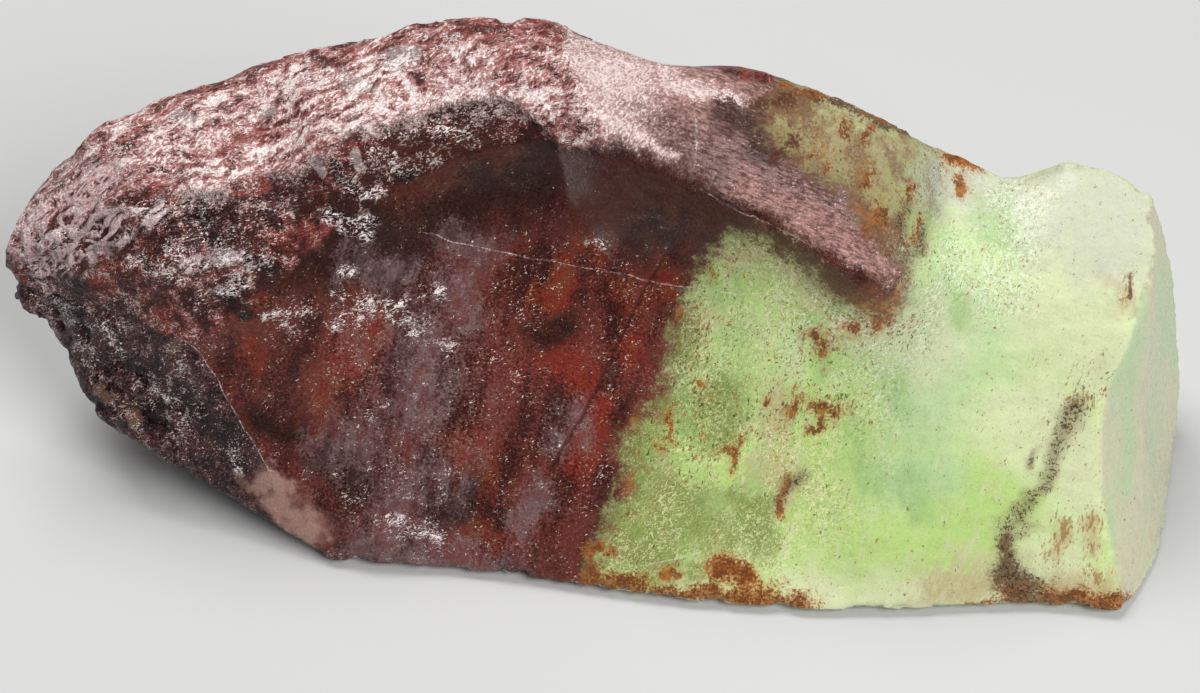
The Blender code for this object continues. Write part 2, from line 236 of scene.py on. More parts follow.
# Marks: how far each one reaches, then the points of its middle line. A field is 1 on the
# line, 0 where the mark ends and -1 away from it.
MARKS = {
    # painted highlights: where the frost and the glints are brightest
    "shine": [
        (3.2, (-46.1, 23.5), (-42.6, 24.5), (-38.9, 26.1), (-33.7, 28.8), (-29.3, 31.3),
         (-24.9, 32.9), (-19.8, 33.9), (-14.5, 34.3), (-9.3, 35.2), (-5.5, 36.7)),
        (2.6, (-58.4, 24.1), (-53, 27.8), (-47.8, 30.8), (-40.5, 33.9), (-29.6, 36.7), (-19.9, 38),
         (-13.5, 38.3)), (2.6, (-62, 20.9), (-60.4, 23.7), (-56.8, 24.4), (-51.7, 25)),
        (2.2, (-38.2, 32.1), (-30.5, 33.5), (-24.1, 35), (-17.7, 35.8)),
        (1.2, (-45.9, 17.5), (-42.9, 16.8), (-38.7, 16.9), (-33.7, 17.7)),
        (1.2, (-44.2, 12.7), (-41.5, 13.9), (-38.8, 14.6)),
        (1, (-29.4, 20.9), (-26.7, 19.8), (-24.4, 20.7)), (1.2, (-14.5, 32.6), (-11.4, 33)),
        (1.4, (-63, 18.4), (-62.2, 14.6), (-59.3, 13)),
        (3, (-12.4, 34.6), (-7.6, 36), (-5.5, 37.3)), (4, (-4.7, 38), (-1.9, 37.8), (-0.3, 35.4)),
        (1, (-24.8, 27.3), (-21.9, 26.7), (-18.6, 27.4)), (0.8, (-27.6, 29.6), (-25, 30.9)),
        (0.8, (-18.7, 31.2), (-14.5, 32.4)), (0.9, (5.8, 35.5), (9.6, 34.6), (14, 33.9)),
        (4, (-5.5, 37.3), (-0.9, 36.9), (2.6, 36.2)), (2.8, (-4, 34), (0, 33)),
        (1.4, (0, 32), (3.2, 29.8)), (0.6, (3.2, 29.8), (6.5, 27.8)),
        (1.4, (-50.2, 4.6), (-48.4, 2.8), (-46, -0.2)), (1.2, (-57.5, 8), (-55.8, 7)),
        (1.4, (-40.6, -4.1), (-39.8, -5.1)), (1.2, (-26, 12.7), (-22, 12.5)),
        (1.3, (-28.9, 10.8), (-25.9, 11.2)), (1.2, (-24.9, 11.7), (-20.6, 11)),
        (1, (-21, 9.4), (-19.7, 9.4)), (1, (-18, 8.5), (-16.4, 8.6)),
        (0.9, (-18.4, 13.8), (-17.3, 13.7)), (1, (-29, 13.5), (-28, 13.2)),
        (0.9, (-28.1, 16.1), (-26.9, 15.9)), (0.9, (-36.3, 11.2), (-31.7, 11.8)),
        (1.1, (-34.4, 10), (-33.5, 9.5)), (1, (-18, -6.1), (-16.4, -5.2)),
        (1, (-28.2, -8.2), (-26.7, -8.5)), (1.6, (-24, -10.6), (-21.3, -11.7), (-18.1, -12.8)),
        (1.2, (3.6, -15.4), (6.4, -14.8), (9.1, -14)), (1.2, (37.3, 24), (40.7, 23.6)),
    ],
    "rose": [
        (5, (3.3, 38.1), (7.1, 36.2), (10, 34.6), (13, 34.3)),
        (2.4, (15.1, 24.4), (19.7, 21.6), (24.9, 18.5), (27.8, 16.3)),
        (3, (-5.1, 34.7), (-0.9, 32.6)),
    ],
    "glow": [
        (3.2, (-25, 9.6), (-26, 7.2), (-28.1, 4.6)), (1.2, (-29.8, 2.9), (-31, 1.5)),
        (1.4, (-38.7, 8.1), (-37.9, 6.5)), (1.4, (-38, 14.7), (-36.8, 13.6)),
        (3.4, (-16.3, -2), (-13.9, -6.3)), (3.4, (-14.8, -10.6), (-12.5, -12.8)),
        (2, (-32.3, -1.5), (-29.9, -2)), (2.2, (-27.1, 14.4), (-26.1, 13.8)),
        (2.6, (-4.5, 15.4), (-5.2, 14)), (3, (-6.6, 7.4), (-2.5, 4.4)),
        (2.4, (-2.5, 19.4), (-0.9, 18.8)), (2, (6.3, 15.9), (5.9, 14)),
        (2.4, (1.6, 6.7), (2.3, 8.2)), (2.6, (-1.8, 0.2), (-0.9, 1.2)),
        (2.2, (-2.7, -2.9), (-4, -5)), (2.4, (1.2, 14), (2.3, 12.9)),
        (2.6, (-37.6, 19.2), (-33.4, 19.7)), (2.4, (-32.4, 22.8), (-29.2, 23.5)),
        (1.6, (-7.3, 14.6), (-6.8, 13)), (1.6, (-5.2, 6.5), (-3, 4.9)),
        (2, (-13.7, -5.7), (-14.8, -7.4)),
    ],
    "haze": [
        (6, (-20.3, 8.6), (-20.8, 0.8)), (3, (-16.8, 14.2), (-15.7, 10.8)),
        (4, (-27.5, -2.9), (-25, -2)), (4.5, (-19.1, -5.7), (-22.4, -8.5)),
        (4, (-24.1, -9.7), (-21.8, -12.7)), (4, (-19, 2.3), (-17.9, 4.4)),
        (2, (-4, 0.2), (-4.9, -2.6)), (2, (-13.6, 18.3), (-16.8, 18.9)),
        (3, (-26.8, -13.9), (-19.2, -15.6), (-11.7, -16.3)), (2, (-9.5, -10.6), (-7.3, -8.4)),
        (2.6, (-25.5, 16.5), (-21, 15)),
    ],
    # painted shade: the hollows, and the underside of the brow, darkened
    "hollow_shade": [
        (4.6, (-13.7, 24.8), (-8, 25.6)), (3, (-9.6, 27.6), (-7.3, 28.4)),
        (4, (-18.9, 21.9), (-13.7, 23.6)), (4, (-27.7, 20.7), (-23.6, 20.3)),
        (4, (3.3, 22.3), (9.6, 20.2), (11.7, 19.5)), (3, (-24.7, 16.6), (-22.2, 15.6)),
        (3.2, (-26.5, 19.4), (-21, 18.6)), (3.6, (-31.6, 18), (-27.1, 16.9)),
        (2.6, (-29.5, -4.3), (-27.1, -6.9)), (2.4, (-14.9, -8.4), (-18.1, -9.5)),
        (1.6, (-5.1, 9.6), (-7.3, 8.7)), (3.2, (12.6, 32.2), (15.4, 31.6), (15.8, 29.5)),
        (2, (-37, 0.5), (-34, -1.5)),
    ],
    # partly a brown stain, partly painted shade under the brow and where the top slope curves down
    "umber_and_shade": [
        (2.6, (-22.7, 28.6), (-20.4, 26.1), (-17.8, 27.6)), (2.2, (-14.6, 30.2), (-11.4, 29.6)),
        (2.6, (0.4, 25.6), (4.8, 24.7), (9.5, 22.8)), (2.4, (-2, 21.9), (1.2, 22.9)),
        (1.2, (9.4, 20.9), (8.4, 18.6)),
        (1.3, (10.7, 22.4), (13.1, 21.4), (16.2, 20.2), (19.8, 17.6), (23.4, 15.4), (26.8, 14)),
        (1.2, (23, 14.8), (26, 13.2)), (0.7, (15, 33.6), (19.1, 34)),
        (0.5, (20.3, 35.1), (25.1, 33.6), (28.8, 32), (33.8, 30.2)),
        (0.7, (17.4, 27.2), (18.8, 29)), (2.2, (42.9, -16.9), (44, -18.4), (46, -19.4)),
        (0.8, (42.1, -12.5), (42.4, -14.7)), (0.3, (55, 15.9), (54.7, 13.4)),
    ],
    "window": [
        (2, (40.8, 22.3), (41.4, 19.5)), (1, (3.9, -3), (4.2, -6)),
        (1.6, (8.7, -10.5), (11.4, -8.4)), (1.6, (13.7, 9.2), (12.9, 3.9)),
        (1.4, (8.7, 2.3), (8.2, -0.9)), (1.4, (11.8, 12.9), (13.3, 14.5)),
        (1.2, (16.1, -6.2), (16.7, -9.4)), (1.6, (25.6, -0.9), (27.7, -6.2)),
        (1.2, (31.4, -6.1), (32.5, -10.4)), (1.2, (22.3, 7.6), (22.5, 6)),
        (0.8, (36.5, 13.5), (37.2, 10.5)), (1.2, (30, 4.5), (31, 1.5)),
    ],
    "ropes": [
        (3, (-62.9, 20.6), (-60.9, 23), (-57.2, 24.4), (-53.4, 23.9)),
        (2.6, (-61, 18.1), (-57.4, 19.3), (-53.7, 20.8)), (1, (-48.3, 21.1), (-47.3, 21.8)),
        (0.8, (-44.5, 16.2), (-41.3, 16.9), (-38.2, 17.5)),
    ],
    "crust": [
        (1.1, (-43.5, 22.4), (-41.2, 19.6), (-40.6, 18.4)), (1.6, (-38.7, 17.6), (-36, 16.8)),
        (1, (-28.5, 26.4), (-27, 25.6)), (1.2, (-21.9, 25.8), (-20.2, 25.6)),
        (1.8, (-57.4, 13), (-57.3, 9.8)), (1.4, (-39.9, 12.9), (-37.9, 11.8)),
        (1.4, (-58, 15.2), (-56, 14.6)), (1.6, (-53.5, 7.5), (-49, 4.8)),
        (1.2, (-50.5, 1.5), (-47.5, -0.8)), (2.4, (-46.5, 2.6), (-40.5, -2.4)),
    ],
    "greypatch": [
        (1.5, (-23.1, 38.3), (-21, 38.9)), (1.5, (-27.1, 36.2), (-25.4, 36.1)),
        (0.8, (-31.1, 27.5), (-30, 25.8)), (1.1, (-45.5, 32.5), (-44.1, 32.5)),
        (1.1, (-36.7, 32.8), (-36, 32.7)), (1.1, (-41.6, 17.6), (-39.6, 17.4)),
        (0.7, (-26.6, 28), (-25.8, 27)),
    ],
    "tan": [
        (1.3, (-55.7, 3), (-54.2, 2.2)), (1, (-50.6, 2), (-51.1, -0.1)),
        (1.2, (-46.5, 7.7), (-46, 8.7)), (0.8, (-39.6, -6.5), (-37.4, -8)),
        (1.8, (5.7, -5.6), (5, -8.4)), (2.4, (18.1, 2.4), (18.1, -0.8)),
        (1.8, (10.6, 11.1), (8.7, 9.7)), (2.4, (23.2, 9), (25.3, 9.7)),
        (1.4, (12.3, 16.9), (15.8, 18.1)), (3, (19.8, 16.9), (22.1, 13.9)),
        (5, (19, 30.7), (23.2, 28.6)), (4, (26.5, 29.7), (30.8, 28.8)),
        (1.6, (-0.9, -12.1), (3.4, -14.8)), (3.6, (35.3, -18.4), (40.6, -17.4)),
        (2.6, (17.2, -5.2), (19.3, -7.3)), (1.6, (53, 15.4), (54.6, 13.6)),
        (2.6, (48, -18.2), (53.5, -17.6)), (1.1, (48.2, -11), (47.6, -13.6)),
        (1.1, (51.6, -10.6), (51.4, -13)), (6, (21, 31), (27, 27.5)), (2.4, (25, 24.5), (28.5, 20)),
    ],
    "olive": [
        (5, (3.4, -8.4), (9.8, -10.5)), (3.5, (1.8, -5.2), (3.4, -2)),
        (2, (14, -8.4), (16.2, -12.6)), (4, (0.5, -11), (5.7, -12.8)),
        (3.6, (8.9, -10.6), (11.9, -12.4)), (2, (3, -5.3), (3.4, -4.1)), (2.2, (5, 0.3), (6, 2.3)),
        (2.4, (8.3, 9.3), (7.9, 7.6)), (1.8, (8.6, -15.6), (10.3, -15.6)),
        (2.6, (11.9, 2.3), (11.3, -0.9)),
    ],
    "vivid": [
        (5, (13.8, 5.6), (13.3, 3.3)), (4, (12.3, 2.4), (14, 1.2)), (5, (8.7, -3), (13, -6.2)),
        (9, (26, -3.4), (27.7, -5.6)), (7, (20.4, -10.5), (26.7, -11.5)),
        (4, (16.8, 16), (15.3, 12.4)), (6, (29.8, -12.5), (34.1, -14.7)),
        (4, (25.2, 6.6), (27.6, 3.4)),
    ],
    "pearl": [
        (7, (49.1, 25.2), (53.3, 24.6), (56.4, 21.9)), (5, (44, 24.7), (46.8, 21.9)),
        (5, (51.9, 19.2), (55.1, 19.2)), (3, (35.1, 25.5), (39.7, 25.7)),
    ],
    "amber": [
        (1.5, (-2, -16.4), (-0.7, -17.2), (4.4, -18.4), (9.8, -19)),
        (1.7, (9.8, -18.9), (16.1, -19.2), (20.4, -19.9)), (1.5, (11.8, -15.8), (14.6, -16.6)),
        (1, (-1.7, -14), (-0.7, -13.6)), (1.6, (43.5, -19.4), (47, -19.8)),
        (1.7, (47, -19), (50, -19.4), (54.6, -20)), (0.7, (38, -19.8), (41.7, -20)),
        (0.4, (18.4, 35.6), (23, 34.5)), (0.4, (26.8, 33.1), (30.5, 31.8)),
        (1.2, (36.8, 28.6), (39, 27.6)),
    ],
    "hatch": [
        (1.5, (48.3, -10.6), (47.3, -13.5)), (1.2, (51.5, -10.1), (51.4, -13.3)),
        (1, (51, -15.3), (52.6, -16.4)), (0.8, (54.6, 15.8), (54.2, 13.4)),
        (1.2, (49.3, 2.3), (51, 3)), (1.2, (20.2, 2.6), (19.3, 0.9)), (0.8, (22, 30.4), (23, 28.4)),
        (0.8, (27.4, 28), (26.4, 25.6)),
    ],
    "cream": [
        (12, (52.2, 23.5), (50.7, 17.1)), (7, (47.5, 12.9), (52.7, 7.6)),
        (4, (39.4, 23.9), (40.1, 23)), (5, (41.7, -19), (48, -15.8)), (4, (37.4, -19), (31, -19.5)),
        (3, (20.4, -19), (25.7, -20), (28.9, -20)), (6, (45.6, 0.2), (51, -6.1)),
        (5, (30.5, 9.7), (33.8, 8.7)),
    ],
    "rust": [
        (0.9, (12.1, -2.9), (13.2, -3.5), (13.1, -5.8)), (0.7, (13.2, -3.5), (13.9, -2)),
        (0.8, (20.2, 2.1), (19.3, 0.9)), (1.1, (22.2, 8.7), (22.1, 7.6)),
        (1.3, (22.6, 1.9), (24.4, 1.4)), (0.7, (23, 0.9), (22.2, -1.2)),
        (0.6, (21.2, -1.5), (21.3, -0.9)), (0.8, (25.7, 10.2), (26, 9.7)),
        (2, (27.5, 13), (28.5, 12.8), (28.3, 11.6)), (0.6, (16.5, 2.1), (16.6, 2.5)),
        (0.7, (19.1, -6.4), (18.4, -8.4), (18.6, -10.3)), (0.7, (6.2, 0.5), (6.8, -2.1)),
        (0.6, (5.5, -2.9), (5, -2.6)), (0.6, (9.1, 4.5), (9.5, 4)), (0.6, (7.6, 11.7), (7.4, 11)),
        (0.6, (2.5, -0.3), (2.9, 0.4)), (1.1, (-1.8, -13.5), (-0.9, -13.2)),
        (0.8, (5.7, -16.1), (7.1, -15.9)), (1.7, (11.4, -15.4), (14.4, -16.2), (14.8, -17.4)),
        (0.5, (22.9, 27.4), (22.5, 26.2)), (0.4, (21.2, 28.3), (20.6, 27.1)),
        (0.5, (25.3, 30.1), (24.9, 32)), (0.5, (27.7, 26.4), (26.8, 24.4)),
        (0.5, (28.3, 23.2), (27.4, 21.2)), (0.5, (27.8, 31.2), (27, 29.4)),
        (0.5, (28.9, 21.9), (28.2, 20.3)), (0.6, (31.7, 25.3), (31.1, 23)),
        (0.4, (32.7, 21.5), (31.4, 18.8)), (1.8, (36.6, 28.7), (37.9, 28.2), (39.2, 27.5)),
        (1.3, (36.9, 26.2), (37.4, 25.3)), (0.6, (26.2, 19.9), (26.8, 19)),
    ],
    "branching": [
        (1.1, (49.8, 2.1), (48.8, 0.7)), (0.6, (48.8, 0.7), (47.7, -1.9), (46.7, -4), (46, -6.7)),
        (0.3, (45, -3.2), (44.8, -4.6)), (0.9, (44.4, -8.2), (43.8, -10.4)),
        (1.3, (43.9, -10.8), (42.3, -12.1)), (1.1, (42.3, -13.7), (42.9, -15.6)),
        (2, (43.1, -16.3), (44, -18.2), (46, -19)), (0.7, (19.1, -6.4), (18.5, -8.4)),
        (0.6, (20.7, -5.7), (20.1, -6.8)), (0.5, (46, -6.7), (44.4, -8.2)),
        (0.6, (31, 22.5), (30.4, 20.8)), (0.5, (32.6, 19.8), (32, 18.2)),
    ],
    "speckled": [
        (3, (20.1, 30.7), (23.1, 27.5)), (2.5, (9.8, -2), (8.7, -5.2)),
        (3, (22.3, 4.5), (20.3, 1.3)), (2.5, (16.6, 2.8), (14.5, -0.9)), (2.5, (27, 12), (24, 10)),
        (3, (9.7, 8.7), (11.2, 9.5)), (2.6, (6.8, -0.9), (6.3, -3)), (3, (8.7, 4.4), (9.7, 2.3)),
        (3.6, (19.7, 5), (23.3, 8.7)), (3, (21.3, 4.4), (23.4, 2.3)),
        (3, (30.5, 23.3), (32.9, 25.6)), (4, (18, 31.8), (15.8, 29.5)), (3.6, (27, 19), (30.2, 17)),
        (2.6, (31, 10.8), (30.6, 9.2)), (3, (50.7, 3.4), (47.7, -0.8)),
        (3, (8.6, 14), (11.8, 16.1)),
    ],
    "needles": [
        (5, (9.8, -5.2), (7.6, -8.4)), (5, (11.9, -13.2), (16.2, -12.6)),
        (4, (3.4, -12.6), (1.2, -11.6)), (4, (11.3, 7.6), (9.7, 2.3)), (4, (16, 9.7), (19.1, 12.9)),
        (5, (17.2, -4.1), (20.4, -8.4)), (4, (28.1, 12.8), (30.6, 8.7)),
        (4, (25.6, -0.9), (27.6, 2.3)), (3.5, (34.7, 18.1), (41.2, 15)),
        (3, (44, 24.7), (42.4, 18.2)), (3, (9.7, 14), (13.8, 16)),
    ],
    "bare": [
        (1.3, (-22.6, 39.2), (-17.8, 40.4), (-13.6, 41.4), (-8.3, 41.6), (-5.5, 40.3)),
        (1.2, (-45.9, 34.4), (-39.6, 36.9), (-34.2, 38.5)),
        (1.4, (-53.6, 27.9), (-49.9, 30.5), (-46.3, 32.7)), (1, (-58.3, 20.2), (-56.4, 22.3)),
        (1.6, (-51.1, 22.9), (-47.9, 24.7), (-46.5, 24)), (1.4, (-32.5, 27.6), (-29.8, 29.7)),
        (1.2, (-40.7, 28.8), (-37, 29.9)), (1, (-30.8, 38.6), (-27.6, 39.4)),
        (0.8, (9.5, 37.8), (12.3, 37.5), (16.8, 36.2)), (1, (-38.8, 24.5), (-36.5, 24.9)),
    ],
    "mint": [
        (2.2, (40.8, 22.3), (41.4, 19.8)), (9, (30.8, 12.8), (37.5, 9.7)),
        (4, (40, 22.5), (41.4, 19.8)), (5, (36.5, 6), (33.4, 1.3)), (3, (33.8, 21.8), (35.3, 19.2)),
        (3, (28.7, 29.8), (30.7, 27.1)), (3.5, (30.9, -6.1), (35, -5.1)),
    ],
    # painted highlights: short glints on the front, the knobs and the dark break
    "glint": [
        (1, (-50.5, 22.6), (-48.1, 22)), (0.8, (-50.9, 16.9), (-49.3, 17.3)),
        (0.8, (-58.6, 19.4), (-56.8, 20.2)), (0.9, (-46.1, 17.9), (-42.9, 16.9), (-39.2, 17.3)),
        (0.8, (-44, 19.2), (-42.4, 19.7)), (0.9, (-48.4, 16.1), (-44, 15)),
        (0.6, (-26, 12.7), (-22, 12.5)), (0.7, (-28.9, 10.7), (-25.9, 11.2)),
        (0.6, (-24.9, 11.8), (-20.6, 10.9)), (0.5, (-21, 9.4), (-19.7, 9.4)),
        (0.5, (-18, 8.5), (-16.4, 8.6)), (0.5, (-18.4, 13.8), (-17.3, 13.7)),
        (0.5, (-29, 13.5), (-28, 13.2)), (0.5, (-28.1, 16.1), (-26.9, 15.9)),
        (0.4, (-36.3, 11.2), (-31.7, 11.8)), (0.5, (-34.4, 10), (-33.5, 9.5)),
        (0.9, (-29.2, 21.7), (-26.7, 19.9), (-25.3, 20.5)), (0.7, (-26.9, 24.8), (-24.2, 24.2)),
        (0.8, (-24.9, 28.5), (-22.4, 27.8)), (0.6, (-17.7, 30.7), (-14.6, 30.5)),
        (0.8, (-39.1, 28.8), (-35.8, 28)), (0.4, (-2, 19), (-0.5, 18.6)),
        (0.5, (-24, -9.8), (-22.4, -10.6)), (0.5, (-21.3, -11.7), (-18.1, -12.6)),
        (0.6, (-54.4, 9.8), (-52.7, 8.2)), (0.5, (-49.5, 4.2), (-47.9, 2.2)),
        (0.5, (-40.6, -4.1), (-39.8, -5.4)), (0.6, (-62.3, 16.5), (-60.8, 14.6)),
        (0.6, (-43.1, 12.9), (-40.4, 13.7), (-38.3, 14.4)),
    ],
    "lens": [
        (2.8, (-36.4, -7), (-34.7, -9.9), (-32, -12.2)),
    ],
    "hole": [
        (0.6, (-57.4, 10.1), (-57.2, 8.9)), (0.8, (-51.3, 4.6), (-51.8, 4.8)),
        (0.9, (-49.7, -0.1), (-50.2, 0.3)), (0.8, (-45.9, 9.9), (-46.6, 10.1)),
        (0.7, (-53, 1.5), (-53.3, 1.7)), (0.9, (-53.2, 17.7), (-53, 17)),
    ],
}
# How sparsely the same things are scattered over the sides that the marks don't cover.
SIDE_MARKS = {
    "umber_and_shade": 0.42, "ropes": 0.30, "pearl": 0.10, "shine": 0.10, "glow": 0.10, "haze": 0.0,
    "hollow_shade": 0.15, "crust": 0.25, "greypatch": 0.30, "tan": 0.10, "olive": 0.20, "vivid": 0.0,
    "cream": 0.05, "rust": 0.36, "speckled": 0.0, "needles": -0.1, "bare": 0.15, "mint": 0.05,
    "glint": 0.30,
}

SCATTER_SIZES = (9.0, 7.0, 4.5)  # of the scattered patches
scatters = [(drift(size, size), drift(0.35 * size, -size)) for size in SCATTER_SIZES]
away = ease(seen_from_front, 0.1, -0.2)
for number, (name, marks) in enumerate(MARKS.items()):
    field = np.full(len(front_view), -1.0)
    for reach, *line in marks:
        frayed_view = front_view + min(1.0, 0.3 + 0.5 * reach) * fraying
        gap = np.abs(gap_to_line(frayed_view, line))
        field = np.maximum(field, 1.0 - gap / reach)
    field = (field + 1.0) * ease(seen_from_front, -0.15, 0.15) - 1.0
    if name not in SIDE_MARKS:
        mark_field(name, field)
        continue
    # The sides that the marks don't cover carry the same things, scattered.
    large, small = scatters[number % 3]
    scattered = large[:, number // 3 % 3] + 0.6 * small[:, number // 9 % 3]
    share = SIDE_MARKS[name]
    mark_field(name, np.maximum(field, 2.0 * away * ease(scattered, share, share + 0.5) - 1.0))


# --- The weathered skin ----------------------------------------------------------------------
# Acid water and frost have worked each part of the skin in its own way: wrinkles on the rind,
# knobs under it, pits in the dark break, faint ledges on the front and fibres in the green.
# One tree of nodes moves the skin in and out by these, and chips the edges.


class Wiring:
    """Adds nodes to a tree. Each input is a number, a vector or another node's output."""

    def __init__(self, tree):
        self.tree = tree

    def add(self, kind, inputs, output=0, **settings):
        """One node with its inputs and settings; what it gives is one of its outputs."""
        made = self.tree.nodes.new(kind)
        for name, value in settings.items():
            setattr(made, name, value)
        for key, value in inputs.items():
            if isinstance(value, bpy.types.NodeSocket):
                self.tree.links.new(value, made.inputs[key])
            else:
                made.inputs[key].default_value = value
        return made.outputs[output]

    def math(self, operation, a, b=0.0, c=0.0, clamp=False):
        return self.add("ShaderNodeMath", {0: a, 1: b, 2: c}, operation=operation, use_clamp=clamp)

    def vector(self, operation, a, b, output=0):
        """Vector arithmetic; to SCALE, b is a number."""
        second = "Scale" if operation == "SCALE" else 1
        inputs = {0: a, second: b}
        return self.add("ShaderNodeVectorMath", inputs, output=output, operation=operation)

    def chained(self, operation, first, *others):
        """All the values, joined by one operation."""
        for other in others:
            first = self.math(operation, first, other)
        return first

    def times(self, *values):
        return self.chained("MULTIPLY", *values)

    def plus(self, *values):
        return self.chained("ADD", *values)

    def most(self, *values):
        return self.chained("MAXIMUM", *values)

    def unsigned(self, value):
        return self.math("ABSOLUTE", value)

    def less(self, value):
        """What is left of 1 when value is taken away."""
        return self.math("SUBTRACT", 1.0, value)

    def sway(self, pattern, amount):
        """A pattern from 0 to 1 as a shift to either side, about amount at its widest."""
        return self.math("MULTIPLY_ADD", pattern, 2.0 * amount, -amount)

    def ease(self, value, start, end, low=0.0, high=1.0):
        """Low until value reaches start, high from end on, and smooth between them."""
        inputs = {0: value, 1: start, 2: end, 3: low, 4: high}
        return self.add("ShaderNodeMapRange", inputs, interpolation_type="SMOOTHSTEP")

    def drawn_out(self, place, stretches, slant=0.0):
        """The place on the front view, turned by a slant, and squeezed to draw patterns out."""
        turn = (VIEW_RISE, math.radians(slant), 0.0)
        turned = self.add("ShaderNodeVectorRotate", {"Vector": place, "Rotation": turn},
                          rotation_type="EULER_XYZ")
        squeeze = tuple(1.0 / value for value in stretches)
        return self.vector("MULTIPLY", turned, squeeze)

    def cloud(self, place, size, detail=2.0, roughness=0.5, warp=0.0):
        """A soft random pattern from 0 to 1, one lump of it about size millimetres across."""
        inputs = {"Vector": place, "Scale": 1.0 / size, "Detail": detail,
                  "Roughness": roughness, "Distortion": warp}
        return self.add("ShaderNodeTexNoise", inputs)

    def streaks(self, place, stretches, slant, *pattern):
        """A cloud that is drawn out by stretches along a slant."""
        return self.cloud(self.drawn_out(place, stretches, slant), *pattern)

    def cells(self, place, size, feature="F1"):
        """The distance to the middle of the nearest cell, the cells being size apart."""
        inputs = {"Vector": place, "Scale": 1.0 / size}
        return self.add("ShaderNodeTexVoronoi", inputs, feature=feature)

    def field(self, name):
        """A field that is marked on the skin."""
        if self.tree.type == "GEOMETRY":
            return self.add("GeometryNodeInputNamedAttribute", {"Name": name})
        return self.add("ShaderNodeAttribute", {}, output=2, attribute_name=name)


def ridged(w, pattern):
    """A pattern folded at its middle, so that it makes narrow crests, from 0 to 1."""
    off = w.unsigned(w.plus(pattern, -0.5))
    return w.math("SUBTRACT", 1.0, w.times(off, 6.0), clamp=True)


def along_rind(w, place):
    """The place, drawn out along the wrinkles of the rind, which rise from the left tip."""
    swirl = w.add("ShaderNodeTexNoise", {"Vector": place, "Scale": 0.13, "Detail": 2.0}, output=1)
    bent = w.vector("ADD", place, w.vector("MULTIPLY", swirl, (6.0, 6.0, 6.0)))
    return w.drawn_out(bent, (2.8, 1.0, 1.0), slant=20)


SKIN_SIZES = {  # how far each kind of relief stands out or in, in millimetres
    "Wrinkle": 0.45, "Knob": 1.2, "Rim": 0.5, "Pit": 0.8, "Ledge": 0.40, "Fibre": 0.12,
    "Chip": 0.9, "Grain": 0.18,
}
GROOVE_DEPTH = 0.22
CRACK_RISE = 0.10
KNOB_SPACING = 5.5  # from the middle of one knob to the next
KNOB_STRETCH = (1.5, 1.0, 1.0)
SMALL_KNOB_SPACING = 2.6
SMALL_KNOB_STRETCH = (1.4, 1.0, 1.0)
PIT_SPACING = 2.1
EDGE_STEPS = 14  # how far a point's surroundings reach, in points
EDGE_FROM = 0.10 * MM  # standing this far out of its surroundings, the skin is at an edge
EDGE_FULL = 0.45 * MM
REST_HEIGHT = 0.2 * MM  # the skin below this rests on the ground and stays flat
FREE_HEIGHT = 1.2 * MM

skin_tree = bpy.data.node_groups.new("weathered skin", "GeometryNodeTree")
sockets = {"Geometry": "Geometry", **dict.fromkeys(SKIN_SIZES, "Float"), "Finish": "Material"}
for name, kind in sockets.items():
    skin_tree.interface.new_socket(name, in_out="INPUT", socket_type="NodeSocket" + kind)
skin_tree.interface.new_socket("Geometry", in_out="OUTPUT", socket_type="NodeSocketGeometry")

w = Wiring(skin_tree)
given = skin_tree.nodes.new("NodeGroupInput").outputs
position = w.add("GeometryNodeInputPosition", {})
facing = w.add("GeometryNodeInputNormal", {})
place = w.vector("SCALE", position, 1.0 / MM)

# The wrinkled rind: long crests that run up from the left tip.
flow = along_rind(w, place)
wrinkle = w.plus(
    w.times(ridged(w, w.cloud(flow, 2.4, 2.0)), 0.55),
    w.times(w.cloud(flow, 1.2, 3.0, 0.6), 1.2),
    -0.8,
)
wrinkle = w.times(wrinkle, w.field("rind"), given["Wrinkle"])

# The knobs: rounded lumps with creases between them.
lump = w.cells(w.drawn_out(place, KNOB_STRETCH), KNOB_SPACING, "SMOOTH_F1")
rough = w.sway(w.cloud(flow, 2.0, 3.0), 0.5)
small = w.cells(w.drawn_out(place, SMALL_KNOB_STRETCH), SMALL_KNOB_SPACING, "SMOOTH_F1")
small = w.times(w.math("SUBTRACT", 0.5, small), 0.5)
knob = w.plus(w.math("SUBTRACT", 0.5, lump), small, rough)
knob = w.times(knob, w.field("knobs"), given["Knob"])

# The rind ends over the knobs in a raised, scalloped rim.
rim = w.plus(w.field("rind"), small, w.sway(w.cloud(place, 3.0, 2.0), 0.4))
rim = w.times(w.ease(rim, 0.35, 0.60), w.less(w.ease(rim, 0.60, 1.40)), given["Rim"])

# The pits, each a small hole with a sharp rim, in loose groups, and a few deep holes.
hole = w.ease(w.cells(place, PIT_SPACING), 0.50, 0.18)
group = w.ease(w.cloud(place, 7.0, 2.0), 0.45, 0.60)
pit = w.plus(w.times(hole, group, w.field("pitted")), w.ease(w.field("hole"), 0.1, 0.7))
pit = w.times(pit, given["Pit"], -1.0)

# Faint ledges and dimples over the front, drawn out level.
ledge = w.sway(w.streaks(place, (2.2, 1.0, 1.0), 0, 6.0, 3.0, 0.55, 0.4), 1.0)
ledge = w.times(ledge, w.less(w.times(w.field("glassy"), 0.7)), given["Ledge"])

# Fibres of the green part, drawn out up and down the front.
green = w.ease(w.field("red"), 1.0, -2.0)
fibre = w.sway(w.streaks(place, (1.0, 1.0, 4.0), 0, 1.6, 3.0, 0.6), 1.0)
fibre = w.times(fibre, green, given["Fibre"])

# The fine grain all over.
grain = w.times(w.sway(w.cloud(place, 1.1, 3.0, 0.65), 1.0), given["Grain"])

